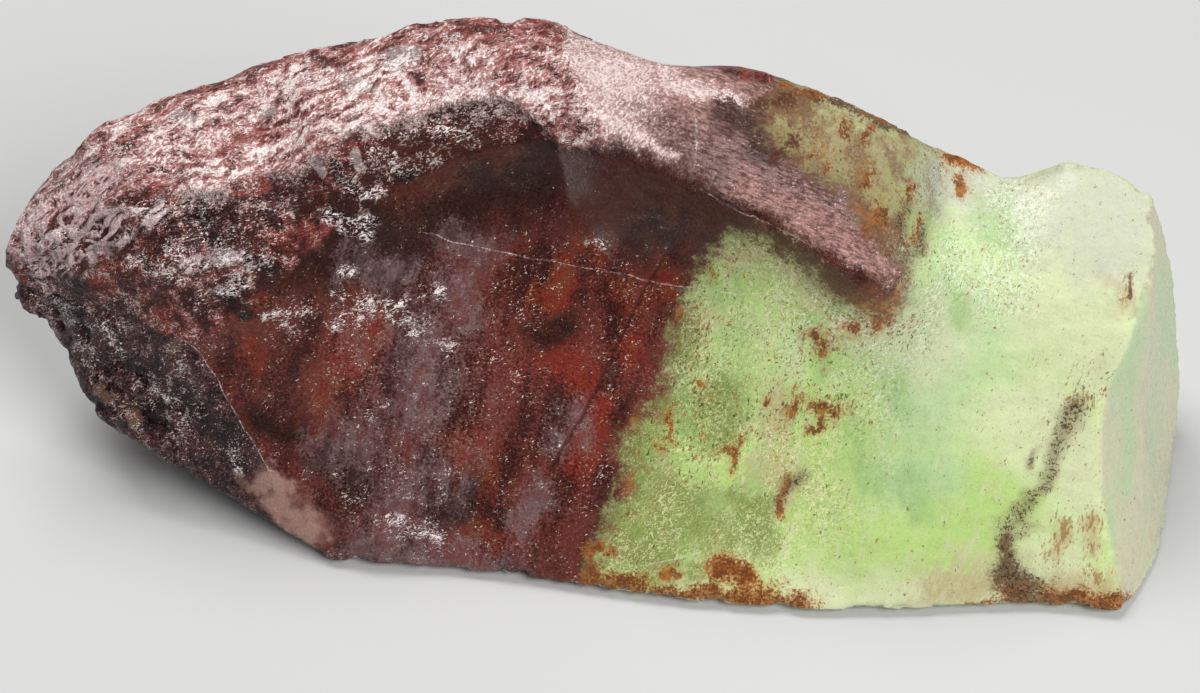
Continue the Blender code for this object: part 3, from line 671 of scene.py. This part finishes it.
# Edges: how far the skin stands out from its own surroundings, and the chips out of them.
around = w.add("GeometryNodeBlurAttribute", {"Value": position, "Iterations": EDGE_STEPS},
               data_type="FLOAT_VECTOR")
out = w.vector("SUBTRACT", position, around)
proud = w.vector("DOT_PRODUCT", out, facing, output=1)
edge = w.ease(proud, EDGE_FROM, EDGE_FULL)
bite = w.ease(w.cloud(place, 3.2, 2.0, 0.6), 0.50, 0.66)
chip = w.times(edge, bite, given["Chip"], -1.0)

# The groove is cut in, and the healed crack stands up a little.
groove = w.ease(w.unsigned(w.field("groove")), 0.8, 0.1)
crack = w.ease(w.unsigned(w.field("crack")), 0.5, 0.1)
cut = w.plus(w.times(groove, -GROOVE_DEPTH), w.times(crack, CRACK_RISE))

lift = w.plus(wrinkle, knob, rim, pit, ledge, fibre, grain, chip, cut)
resting = w.add("ShaderNodeSeparateXYZ", {"Vector": position}, output=2)
lift = w.times(lift, MM, w.ease(resting, REST_HEIGHT, FREE_HEIGHT))
offset = w.vector("SCALE", facing, lift)

edged = {"Geometry": given["Geometry"], "Name": "edge", "Value": edge}
shaped = w.add("GeometryNodeStoreNamedAttribute", edged, data_type="FLOAT", domain="POINT")
shaped = w.add("GeometryNodeSetPosition", {"Geometry": shaped, "Offset": offset})
shaped = w.add("GeometryNodeRealizeInstances", {"Geometry": shaped})
shaped = w.add("GeometryNodeSetShadeSmooth", {"Geometry": shaped})
shaped = w.add("GeometryNodeSetMaterial", {"Geometry": shaped, "Material": given["Finish"]})
skin_tree.links.new(shaped, skin_tree.nodes.new("NodeGroupOutput").inputs["Geometry"])


# --- The look of the stone -------------------------------------------------------------------
# Waxy, frosted calcite. Iron colours the red end from maroon to orange under a mauve haze; the
# green end is pale, finely etched and stained with rust. Light enters the stone a little way.
# Highlights, glints and the shade in hollows and creases are painted into the colour.


def paint(red, green, blue):
    """A colour given as it looks on a screen, from 0 to 255, as the shader needs it."""
    def linear(value):
        value /= 255.0
        return value / 12.92 if value <= 0.04045 else ((value + 0.055) / 1.055) ** 2.4
    return (linear(red), linear(green), linear(blue), 1.0)


MAROON_DEEP = paint(58, 23, 20)
MAROON = paint(100, 46, 39)
RED_GLOW = paint(116, 38, 28)
ORANGE_GLOW = paint(114, 52, 28)
MAUVE_HAZE = paint(114, 90, 91)
# painted shade, for the hollows under the brow and on the slopes
SHADE_BROWN = paint(38, 20, 18)
# brown stain, also laid as painted shade under the brow
UMBER_AND_SHADE = paint(74, 33, 24)
SATIN_GREY = paint(98, 77, 75)
# the knobs' dark red, and painted shade in their creases and between the rope folds
KNOB_DARK_AND_SHADE = paint(50, 21, 20)
KNOB_RED = paint(124, 52, 46)
# painted highlight on the rope folds
ROPE_HIGHLIGHT_MAUVE = paint(206, 179, 180)
VELVET_MAUVE = paint(138, 110, 106)
VELVET_DARK = paint(84, 58, 56)
# painted highlight on the velvet where it shines
VELVET_HIGHLIGHT = paint(198, 172, 168)
ROSE = paint(176, 130, 122)
RIND_RED = paint(128, 56, 48)
RIND_DARK = paint(74, 32, 30)
RIND_GREY = paint(150, 132, 130)
# painted highlights, partly the whitish frosted grains; the white also draws the thin pale lines
GLINT_AND_FROST_ROSE = paint(192, 142, 138)
GLINT_AND_FROST_WHITE = paint(250, 238, 234)
CRUST_BLACK = paint(22, 8, 9)
BREAK_MAROON = paint(66, 27, 29)
SCAB_TAN = paint(108, 80, 66)
LENS_BROWN = paint(122, 80, 74)
LENS_PALE = paint(168, 132, 121)
GREEN_PALE = paint(200, 216, 156)
GREEN_VIVID = paint(178, 205, 124)
GREEN_WINDOW = paint(142, 178, 108)
GREEN_MINT = paint(170, 200, 154)
GREEN_OLIVE = paint(120, 132, 64)
GREEN_CREAM = paint(208, 213, 174)
PEARL = paint(193, 196, 178)
# the grit's pale flecks, partly painted sparkle
GRIT_AND_SPARKLE_PALE = paint(222, 220, 172)
GRIT_AND_SPARKLE_WHITE = paint(220, 232, 204)
TAN = paint(182, 160, 118)
BREAK_GREEN = paint(176, 192, 154)
BREAK_GREY = paint(190, 189, 160)
EDGE_BROWN = paint(98, 60, 44)
STREAK_BROWN = paint(132, 96, 68)
RUST = paint(166, 102, 46)
RUST_DEEP = paint(106, 58, 30)
HATCH_ORANGE = paint(152, 106, 58)
SPECK_BROWN = paint(70, 50, 32)
BRANCH_BROWN = paint(122, 100, 70)
BRANCH_DARK = paint(50, 40, 34)

UPRIGHT_LEAN = -12  # degrees, of the bands and fibres on the front


def thin(w, pattern, width):
    """The thin lines along which a pattern is at its middle, as a share from 0 to 1."""
    off = w.unsigned(w.plus(pattern, -0.5))
    return w.ease(off, width, 0.3 * width)


stone_finish = bpy.data.materials.new("weathered calcite")
stone_finish.use_nodes = True
finish_tree = stone_finish.node_tree
shader = finish_tree.nodes["Principled BSDF"]
w = Wiring(finish_tree)
inside = w.add("ShaderNodeTexCoord", {}, output=3)
place = w.vector("SCALE", inside, 1.0 / MM)
flow = along_rind(w, place)

# Patterns from 0 to 1 that cover the whole stone: soft lumps from fine to wide, and streaks.
grain = w.cloud(place, 0.30, 2.0, 0.7)
medium = w.cloud(place, 1.5, 4.0, 0.65)
broad = w.cloud(place, 6.0, 3.0, 0.6)
wide = w.cloud(place, 14.0, 2.0, 0.5)
upright = w.streaks(place, (1.0, 1.0, 4.0), UPRIGHT_LEAN, 1.1, 4.0, 0.65)
banded = w.streaks(place, (1.0, 1.0, 3.0), UPRIGHT_LEAN, 3.6, 4.0, 0.6)
curl = w.streaks(place, (1.6, 1.0, 1.0), 45, 0.42, 3.0, 0.6, 1.4)
fleck = w.streaks(place, (1.0, 1.0, 1.8), -25, 0.30, 2.0, 0.6, 0.8)
fold = w.streaks(place, (2.0, 1.0, 1.0), 20, 1.1, 2.0, 0.5, 1.4)


def frayed(name, sway=0.5, grain_sway=0.25, pattern=medium):
    """A marked field, frayed by a pattern and by the grain."""
    return w.plus(w.field(name), w.sway(pattern, sway), w.sway(grain, grain_sway))


def mark(name, start, end, *sways):
    """A frayed field as a share from 0 to 1."""
    return w.ease(frayed(name, *sways), start, end)


def streaked(name, start, end, pattern, sway, grain_sway=0.6):
    """A field, drawn out along a streaky pattern, as a share from 0 to 1."""
    return w.ease(frayed(name, sway, grain_sway, pattern), start, end)


def laid(under, over, *shares, blend="MIX"):
    """A colour over laid on the colour under, by all the shares together."""
    return w.add("ShaderNodeMix", {0: w.times(*shares), 6: under, 7: over}, output=2,
                 data_type="RGBA", blend_type=blend)


# The red front: maroon in upright bands, glowing red and orange in places, under a haze, with
# painted shade in its hollows.
red = laid(MAROON_DEEP, MAROON, w.ease(w.plus(banded, w.sway(grain, 0.2)), 0.36, 0.60))
ember = laid(RED_GLOW, ORANGE_GLOW, w.ease(w.plus(medium, w.sway(wide, 0.4)), 0.4, 0.6))
red = laid(red, ember, streaked("glow", -0.2, 0.9, banded, 1.6, 1.0), 0.9)
# painted shade: the hollows under the brow, darkened to brown
hollow_shade = streaked("hollow_shade", -0.6, 0.8, banded, 1.8, 0.5)
red = laid(red, SHADE_BROWN, hollow_shade, 0.9)
haze = streaked("haze", -0.5, 0.9, banded, 1.4, 1.2)
cloudy = w.plus(w.times(medium, 0.5), w.times(upright, 0.5))
red = laid(red, MAUVE_HAZE, haze, w.ease(cloudy, 0.38, 0.60, 0.20, 0.90))
satin = w.field("satin")
satin = w.times(w.ease(satin, -0.1, 0.5), w.ease(satin, 5.5, 1.5))
satin = w.times(satin, w.ease(w.plus(curl, w.sway(broad, 0.3)), 0.36, 0.60, 0.5, 1.0))
red = laid(red, SATIN_GREY, satin)

# The knobs under the rind: wet and dark, with painted shade that makes them darkest in the
# creases between them.
knobs = w.ease(w.plus(w.field("knobs"), w.sway(medium, 0.4)), 0.3, 0.7)
lump = w.cells(w.drawn_out(place, KNOB_STRETCH), KNOB_SPACING, "SMOOTH_F1")
# painted shade: the creases between the knobs are darkened
crease = w.ease(lump, 0.25, 0.60)
knob = laid(KNOB_DARK_AND_SHADE, KNOB_RED, w.ease(w.plus(medium, w.times(crease, -0.15)), 0.34, 0.56))
# under the brow: partly brown stain, partly painted shade
knob = laid(knob, UMBER_AND_SHADE, mark("umber_and_shade", -0.4, 0.5), 0.6)
red = laid(red, knob, knobs, 0.85)

# The slope above the brow: mauve velvet with a fine nap, with rose along its top, painted
# highlights where it shines and painted shade in its hollows.
top = mark("top", -0.7, 0.6, 1.6, 1.0)
lying = w.streaks(place, (3.5, 1.0, 1.0), -20, 0.30, 3.0, 0.65)
risen = w.streaks(place, (2.6, 1.0, 1.0), 50, 0.24, 3.0, 0.65)
along_stone = w.add("ShaderNodeSeparateXYZ", {"Vector": place})
nap = w.add("ShaderNodeMix", {0: w.ease(w.plus(along_stone, w.sway(broad, 6.0)), 2.0, 12.0),
                              2: risen, 3: lying}, data_type="FLOAT")
velvet = laid(VELVET_DARK, VELVET_MAUVE, w.ease(w.plus(nap, w.sway(broad, 0.3)), 0.38, 0.60))
# painted highlight: the velvet is lightened where it shines
velvet = laid(velvet, VELVET_HIGHLIGHT, mark("shine", -0.7, 0.9, 0.9, 0.5), 0.75)
rosy = w.times(mark("rose", -0.5, 0.9, 0.8, 1.2), w.ease(nap, 0.42, 0.58, 0.25, 0.85))
velvet = laid(velvet, ROSE, rosy)
# painted shade in the velvet's hollows
velvet = laid(velvet, SHADE_BROWN, mark("hollow_shade", 0.0, 0.7, 0.5, 0.3), 0.8)
red = laid(red, velvet, top)

# The rind: red over dark red, in rows, with bare red places and grey patches.
rind = w.ease(w.plus(w.field("rind"), w.sway(medium, 0.5)), 0.35, 0.75)
rows = w.cloud(flow, 1.0, 3.0, 0.6)
bark = laid(RIND_DARK, RIND_RED, w.ease(rows, 0.36, 0.54))
red = laid(red, bark, rind)
bare = mark("bare", -0.2, 0.5, 0.7, 0.5)
red = laid(red, bark, bare)

# The dark break, with tan scabs, and the clean lens below it.
dark = w.ease(w.plus(w.field("dark_break"), w.sway(grain, 0.3)), 0.4, 0.6)
scab = laid(CRUST_BLACK, BREAK_MAROON, w.ease(w.plus(medium, w.sway(broad, 0.3)), 0.34, 0.56))
scab = laid(scab, MAUVE_HAZE, w.ease(grain, 0.45, 0.75), 0.5)
scab = laid(scab, SCAB_TAN, mark("tan", 0.1, 0.6, 0.9, 0.9), 0.8)
red = laid(red, scab, dark)
crust = w.times(mark("crust", 0.25, 0.6, 1.2, 0.6), 0.85)
red = laid(red, CRUST_BLACK, crust)
clear = w.plus(w.field("lens"), w.sway(medium, 0.8), w.sway(broad, 1.0))
lens = laid(LENS_BROWN, LENS_PALE, w.ease(clear, 0.1, 0.9))
red = laid(red, lens, mark("lens", -0.1, 0.6, 0.4, 0.3), 0.9)

# Folds that run together like ropes at the left tip: painted highlights in light mauve on the
# folds, and painted shade between them.
roped = mark("ropes", -0.5, 0.3)
rope = w.streaks(place, (2.4, 1.0, 1.0), 35, 1.7, 2.0, 0.45, 2.0)
ropes = w.times(w.ease(rope, 0.44, 0.54), roped)
# painted shade between the folds
red = laid(red, KNOB_DARK_AND_SHADE, w.ease(rope, 0.50, 0.42), roped, 0.6)
# painted highlight on the folds
red = laid(red, ROPE_HIGHLIGHT_MAUVE, ropes, 0.9)

# Frost on the slopes, partly whitish frosted grains and partly painted highlights: curled
# strokes, set in rows that follow the rind's wrinkles and the nap of the velvet.
along = w.add("ShaderNodeMix", {0: rind, 2: nap, 3: rows}, data_type="FLOAT")
bright_here = w.add("ShaderNodeMix", {0: rind, 2: 0.10, 3: 0.04}, data_type="FLOAT")
stroke = w.plus(w.times(curl, 0.45), w.times(along, 0.55), w.times(w.field("shine"), bright_here),
                w.sway(broad, 0.07), w.times(crust, -0.08), w.times(bare, -0.07),
                w.times(roped, -0.05), w.times(knobs, w.less(rind), -0.03))
slopes = w.most(rind, top)
lit_knobs = w.times(knobs, w.ease(w.plus(w.field("shine"), w.sway(medium, 1.2)), 0.1, 0.7),
                    w.ease(fold, 0.47, 0.56), 0.55)
frost_and_sheen = w.ease(w.plus(stroke, w.times(w.less(rind), -0.04)), 0.42, 0.53)
# painted highlight in rose, partly frosted grains
red = laid(red, GLINT_AND_FROST_ROSE, frost_and_sheen, w.most(slopes, lit_knobs), 0.65)
patch = w.times(mark("greypatch", 0.15, 0.45, 0.6, 0.5), w.ease(curl, 0.35, 0.50, 0.4, 0.9))
red = laid(red, RIND_GREY, patch)
# painted highlights in white, partly frosted grains
frost_and_glint = w.times(w.ease(stroke, 0.52, 0.58), w.most(slopes, lit_knobs),
                w.ease(fleck, 0.36, 0.56, 0.45, 1.0), w.ease(rind, 0.0, 1.0, 0.72, 1.0))

# Painted highlights: thin curved lines where wet-looking folds catch the light, short level
# glints, and fine glints strewn over the rest.
arc = w.times(thin(w, fold, 0.035), w.ease(medium, 0.48, 0.58))
glint_here = w.most(w.ease(w.field("glint"), -0.8, 0.3), w.times(roped, 0.7), w.times(knobs, 0.35),
                  w.times(rind, 0.7), w.times(w.field("pitted"), 0.4))
glint_pool = w.times(streaked("glint", 1.1, 1.5, fold, 3.0, 0.9), 0.8)
glint = w.most(w.times(arc, glint_here), glint_pool)
level = w.streaks(place, (3.0, 1.0, 1.0), 8, 0.6, 2.0, 0.5, 1.0)
lines = w.times(thin(w, level, 0.022), w.ease(w.field("glint"), -0.4, 0.4), w.ease(grain, 0.40, 0.52))
spark = w.streaks(place, (1.8, 1.0, 1.0), 20, 0.18, 2.0, 0.6, 0.8)
strewn = w.plus(spark, w.sway(medium, 0.16), w.sway(broad, 0.10), w.times(knobs, 0.03),
                w.times(dark, 0.02), w.times(w.ease(w.field("shine"), -0.6, 0.8), 0.06),
                w.times(w.ease(w.field("lens"), -0.2, 0.3), -0.3), w.times(hollow_shade, -0.05))
strewn = w.times(w.ease(strewn, 0.65, 0.73), 0.75)
highlight_share = w.most(frost_and_glint, strewn, glint, lines)
# all the painted highlights, laid in white
red = laid(red, GLINT_AND_FROST_WHITE, highlight_share, 0.92)

# The green end: pale to vivid, mint and cream at its top right, olive by the red.
green = laid(GREEN_PALE, GREEN_VIVID, w.ease(w.plus(wide, w.sway(broad, 0.3)), 0.4, 0.62))
green = laid(green, GREEN_VIVID, mark("vivid", -0.5, 0.9, 0.5, 0.1), 0.8)
green = laid(green, GREEN_MINT, mark("mint", -0.5, 0.9, 0.6, 0.1), 0.6)
green = laid(green, GREEN_CREAM, mark("cream", -0.4, 0.8, 0.5, 0.1), 0.9)
low_down = w.ease(w.field("top"), 0.0, -3.0)
green = laid(green, TAN, w.ease(low_down, 1.0, 0.0, 0.0, 0.30))
by_the_red = w.ease(w.plus(w.field("red"), w.sway(upright, 6.0)), -9.0, -1.0)
green = laid(green, GREEN_OLIVE, by_the_red, low_down, 0.28)
green = laid(green, TAN, streaked("tan", -0.4, 0.9, upright, 1.6, 1.0), 0.75)
green = laid(green, GREEN_CREAM, w.ease(upright, 0.50, 0.68), 0.35)
green = laid(green, PEARL, mark("pearl", -0.6, 0.7, 0.6, 0.1), 0.85)
green = laid(green, GREEN_CREAM, w.ease(cloudy, 0.50, 0.64), 0.40)
window = streaked("window", -0.9, 0.9, upright, 1.6, 0.3)
green = laid(green, GREEN_WINDOW, window, 0.5)
olive = streaked("olive", -0.6, 0.7, banded, 1.6)
green = laid(green, GREEN_OLIVE, olive, 0.80)
strands = w.streaks(place, (1.0, 1.0, 3.0), UPRIGHT_LEAN, 0.30, 3.0, 0.65)
wash = w.plus(w.times(banded, 0.5), w.times(upright, 0.3), w.times(strands, 0.2),
              w.sway(grain, 0.08))
wash = w.plus(w.ease(wash, 0.45, 0.57), w.times(w.ease(w.field("red"), -8.0, -1.0), 0.45))
wash = w.times(wash, w.less(low_down), w.ease(along_stone, 42.0, 30.0))
green = laid(green, STREAK_BROWN, wash, 0.72)
sheet = w.streaks(place, (1.0, 4.0, 4.0), 0, 3.0, 3.0, 0.5, 0.3)
glass = laid(BREAK_GREEN, BREAK_GREY, w.ease(sheet, 0.4, 0.62))
green = laid(green, glass, w.field("glassy"))
# painted highlight: the green's standing edges are lightened to cream
green = laid(green, GREEN_CREAM, w.field("edge"), 0.5)

# Clustered pale grit, partly painted sparkle, with a painted dark-olive shadow beside its flecks,
# brown specks in it, and clear windows between the clusters.
etched = w.most(w.ease(w.field("needles"), -0.8, 0.6), w.times(by_the_red, low_down))
etched = w.times(w.plus(w.times(etched, 0.85), 0.15), w.less(w.field("glassy")))
cluster = w.ease(w.plus(banded, w.sway(medium, 0.35)), 0.36, 0.54, 0.35, 1.0)
etched = w.times(etched, cluster, w.less(w.times(window, 0.4)), w.less(w.times(olive, 0.3)))
grit = w.streaks(place, (1.5, 1.0, 1.0), 45, 0.26, 3.0, 0.65, 1.2)
# painted shadow: dark olive beside the pale flecks
green = laid(green, GREEN_OLIVE, w.ease(grit, 0.46, 0.36), etched, 0.55)
grit_and_sparkle = laid(GRIT_AND_SPARKLE_PALE, GRIT_AND_SPARKLE_WHITE, w.ease(w.field("mint"), -0.8, 0.3))
# the pale flecks, partly painted sparkle
green = laid(green, grit_and_sparkle, w.ease(grit, 0.51, 0.58), etched, 0.95)
specks = w.plus(fleck, w.times(w.ease(w.field("speckled"), -0.5, 1.0), 0.09), w.sway(medium, 0.10),
                w.times(etched, 0.05))
speck = laid(SPECK_BROWN, RUST, w.ease(medium, 0.50, 0.60))
green = laid(green, speck, w.ease(specks, 0.67, 0.73), 0.80)

# Where the two meet, brown shows at the red's edge, with rust in a few places. The umber is partly
# that brown, partly painted shade under the brow and where the top slope curves down.
on_top = w.times(w.sway(strands, 2.0), w.less(low_down))
umber_and_shade_here = w.ease(w.plus(frayed("umber_and_shade", 1.0, 1.0), on_top), -0.3, 0.5)
wandering = w.plus(w.sway(medium, 2.4), w.sway(broad, 1.2), w.sway(grain, 1.6))
wandering = w.times(wandering, w.less(w.times(umber_and_shade_here, low_down, 0.6)))
inside_red = w.plus(w.field("red"), wandering)
red_share = w.ease(inside_red, -0.6, 1.2)
not_red = w.less(w.times(red_share, 0.7))
shade_on_top = w.ease(low_down, 0.0, 1.0, 0.84, 1.0)
green = laid(green, shade_on_top, 1.0, blend="MULTIPLY")
colour = laid(green, red, red_share)
rim = w.times(w.ease(inside_red, -2.2, -0.2), w.ease(inside_red, 2.2, 0.2))
colour = laid(colour, EDGE_BROWN, rim, 0.42)
colour = laid(colour, RUST, rim, w.ease(broad, 0.60, 0.68), 0.5)
# umber: partly brown stain, partly painted shade
umber_and_shade = laid(EDGE_BROWN, UMBER_AND_SHADE, w.most(red_share, w.ease(fleck, 0.40, 0.56)))
colour = laid(colour, umber_and_shade, umber_and_shade_here, w.less(knobs), w.less(rind), 0.85)

# Iron stains: crisp rust spots, thin orange hatching, and amber along the bottom edge.
rust = w.plus(medium, w.sway(fleck, 0.4), w.times(w.less(low_down), 0.08))
rust = laid(RUST, RUST_DEEP, w.ease(rust, 0.38, 0.62))
on_top = w.times(w.sway(strands, 2.4), w.less(low_down))
spot = w.plus(frayed("rust", 1.2, 1.0, upright), on_top)
colour = laid(colour, RUST, w.ease(spot, -0.5, 0.4), not_red, 0.30)
colour = laid(colour, rust, w.ease(spot, 0.30, 0.60), not_red, 0.90)
hatch = w.plus(w.field("hatch"), w.sway(strands, 4.0))
colour = laid(colour, HATCH_ORANGE, w.ease(hatch, 0.5, 1.1), not_red, 0.70)
amber = frayed("amber", 0.8, 1.1)
burnt = w.ease(w.plus(medium, w.sway(grain, 0.7)), 0.36, 0.62, 0.25, 0.95)
colour = laid(colour, RUST, w.ease(amber, -0.3, 0.5), 0.85)
colour = laid(colour, RUST_DEEP, w.ease(amber, 0.0, 0.7), burnt)

# The branching brown line on the green: a soft shadow full of dark blots.
branching = frayed("branching", 0.8, 0.5)
colour = laid(colour, BRANCH_BROWN, w.ease(branching, -1.2, 1.0), 0.60)
blot = w.plus(w.cloud(place, 0.36, 3.0, 0.65, 1.0), w.times(branching, 0.07))
blot = w.times(w.ease(blot, 0.56, 0.62), w.ease(w.field("branching"), -1.0, 0.1))
colour = laid(colour, BRANCH_DARK, blot, 0.80)

# Thin pale lines: the healed crack, the edge of the dark break and a flake, and painted
# highlights along the lit lip of the brow and a small ledge. They are broken here and there.
thread = w.unsigned(w.field("crack"))
for name, thinness in (("pale_edge", 1.0), ("lip", 1.0), ("flake", 0.5), ("ledge", 0.5)):
    line = w.times(w.unsigned(w.field(name)), thinness)
    thread = w.math("MINIMUM", thread, line)
thread = w.times(w.ease(w.plus(thread, w.sway(medium, 0.30)), 0.10, 0.02),
                 w.ease(medium, 0.44, 0.58, 0.10, 1.0), w.ease(grain, 0.38, 0.58, 0.2, 0.8),
                 w.plus(w.times(red_share, 0.5), 0.5))
colour = laid(colour, GLINT_AND_FROST_WHITE, thread)
groove = w.ease(w.unsigned(w.plus(w.field("groove"), w.sway(grain, 0.4))), 0.35, 0.05)
colour = laid(colour, MAROON_DEEP, groove, 0.7)

# The grain darkens and lightens the colour, the red far more than the green.
strength = w.math("MULTIPLY_ADD", red_share, 0.60, 0.14)
strength = w.times(strength, w.ease(w.field("lens"), -0.2, 0.5, 1.0, 0.4))
shading = w.plus(1.0, w.times(w.sway(grain, 1.0), strength))
colour = laid(colour, shading, 1.0, blend="MULTIPLY")
finish_tree.links.new(colour, shader.inputs["Base Color"])

# Gloss: waxy, with wet-looking clean patches.
gloss = w.plus(w.ease(medium, 0.35, 0.65, 0.44, 0.22), w.sway(grain, 0.12))
gloss = w.plus(gloss, w.times(w.field("glassy"), -0.06), w.times(top, 0.06), w.times(knobs, -0.10))
finish_tree.links.new(gloss, shader.inputs["Roughness"])
shader.inputs["IOR"].default_value = 1.57
shader.inputs["Specular IOR Level"].default_value = 0.30

# Light enters the green furthest.
depth = w.math("MULTIPLY_ADD", red_share, -0.34, 0.42)
finish_tree.links.new(depth, shader.inputs["Subsurface Weight"])
shader.inputs["Subsurface Radius"].default_value = (1.0, 1.1, 0.7)
shader.inputs["Subsurface Scale"].default_value = 1.2 * MM

# The finest relief, below the skin's own grain.
carved = w.times(stroke, w.plus(w.times(slopes, 0.55), w.times(dark, 0.25), 0.08))
folded = w.times(w.plus(fold, w.times(curl, 0.4)), knobs, 0.5)
folded = w.plus(folded, w.times(rope, roped, 1.6))
grainy = w.plus(w.times(w.field("glassy"), -0.04), w.times(red_share, 0.07), 0.05)
height = w.plus(carved, folded, w.times(grain, grainy))
bump = w.add("ShaderNodeBump", {"Height": height, "Strength": 0.9, "Distance": MM})
finish_tree.links.new(bump, shader.inputs["Normal"])

# The skin takes its relief and its finish, and stands in for the plain solid.
skin = stone.modifiers.new("skin", "NODES")
skin.node_group = skin_tree
given_values = {**SKIN_SIZES, "Finish": stone_finish}
for socket in skin.node_group.interface.items_tree:
    if socket.name in given_values:
        skin[socket.identifier] = given_values[socket.name]
settle(stone)

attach(stone, "root")
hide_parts("calcite")


# --- The floor -------------------------------------------------------------------------------
# A plain, pale, dull sheet that the stone lies on. It is far wider than the stone, and the
# camera doesn't see its edges.

FLOOR_WIDTH = 4.0
FLOOR_GREY = paint(196, 196, 195)

bpy.ops.mesh.primitive_plane_add(size=FLOOR_WIDTH)
floor = bpy.context.object
floor.name = "floor"
floor_finish = bpy.data.materials.new("pale floor")
floor_finish.use_nodes = True
floor_shader = floor_finish.node_tree.nodes["Principled BSDF"]
floor_shader.inputs["Base Color"].default_value = FLOOR_GREY
floor_shader.inputs["Roughness"].default_value = 0.7
floor.data.materials.append(floor_finish)


# --- Light and camera ------------------------------------------------------------------------
# One broad soft light hangs behind and above the stone, and another fills its front. The
# camera looks down on the front at 45 degrees.

AIM = Vector((-0.9, -8.7, 20.0)) * MM  # where the camera and the lights are turned to


def soft_light(name, place, size, power):
    """A square soft light at a place in metres, turned to the stone."""
    lamp = bpy.data.lights.new(name, "AREA")
    lamp.size = size
    lamp.energy = power
    light = bpy.data.objects.new(name, lamp)
    light.location = place
    light.rotation_euler = (AIM - Vector(place)).to_track_quat("-Z", "Y").to_euler()
    bpy.context.scene.collection.objects.link(light)
    light.visible_glossy = (name == "key")  # only the key is mirrored in the stone


soft_light("key", place=(-0.15, 0.24, 0.60), size=0.35, power=3.4)
soft_light("fill", place=(0.36, -0.42, 0.50), size=0.40, power=5.0)

world = bpy.data.worlds.new("studio")
world.use_nodes = True
world.node_tree.nodes["Background"].inputs["Color"].default_value = (0.95, 0.97, 1.0, 1.0)
world.node_tree.nodes["Background"].inputs["Strength"].default_value = 0.15
world.cycles_visibility.glossy = False
bpy.context.scene.world = world
bpy.context.scene.view_settings.view_transform = "Standard"

DISTANCE = 300.0 * MM
camera = bpy.data.objects.new("camera", bpy.data.cameras.new("camera"))
camera.data.sensor_width = 36.0
camera.data.lens = 84.2
camera.data.clip_start = 10.0 * MM
camera.location = AIM + DISTANCE * Vector((0.0, -math.cos(VIEW_RISE), math.sin(VIEW_RISE)))
camera.rotation_euler = (math.radians(90) - VIEW_RISE, 0.0, 0.0)
bpy.context.scene.collection.objects.link(camera)
bpy.context.scene.camera = camera
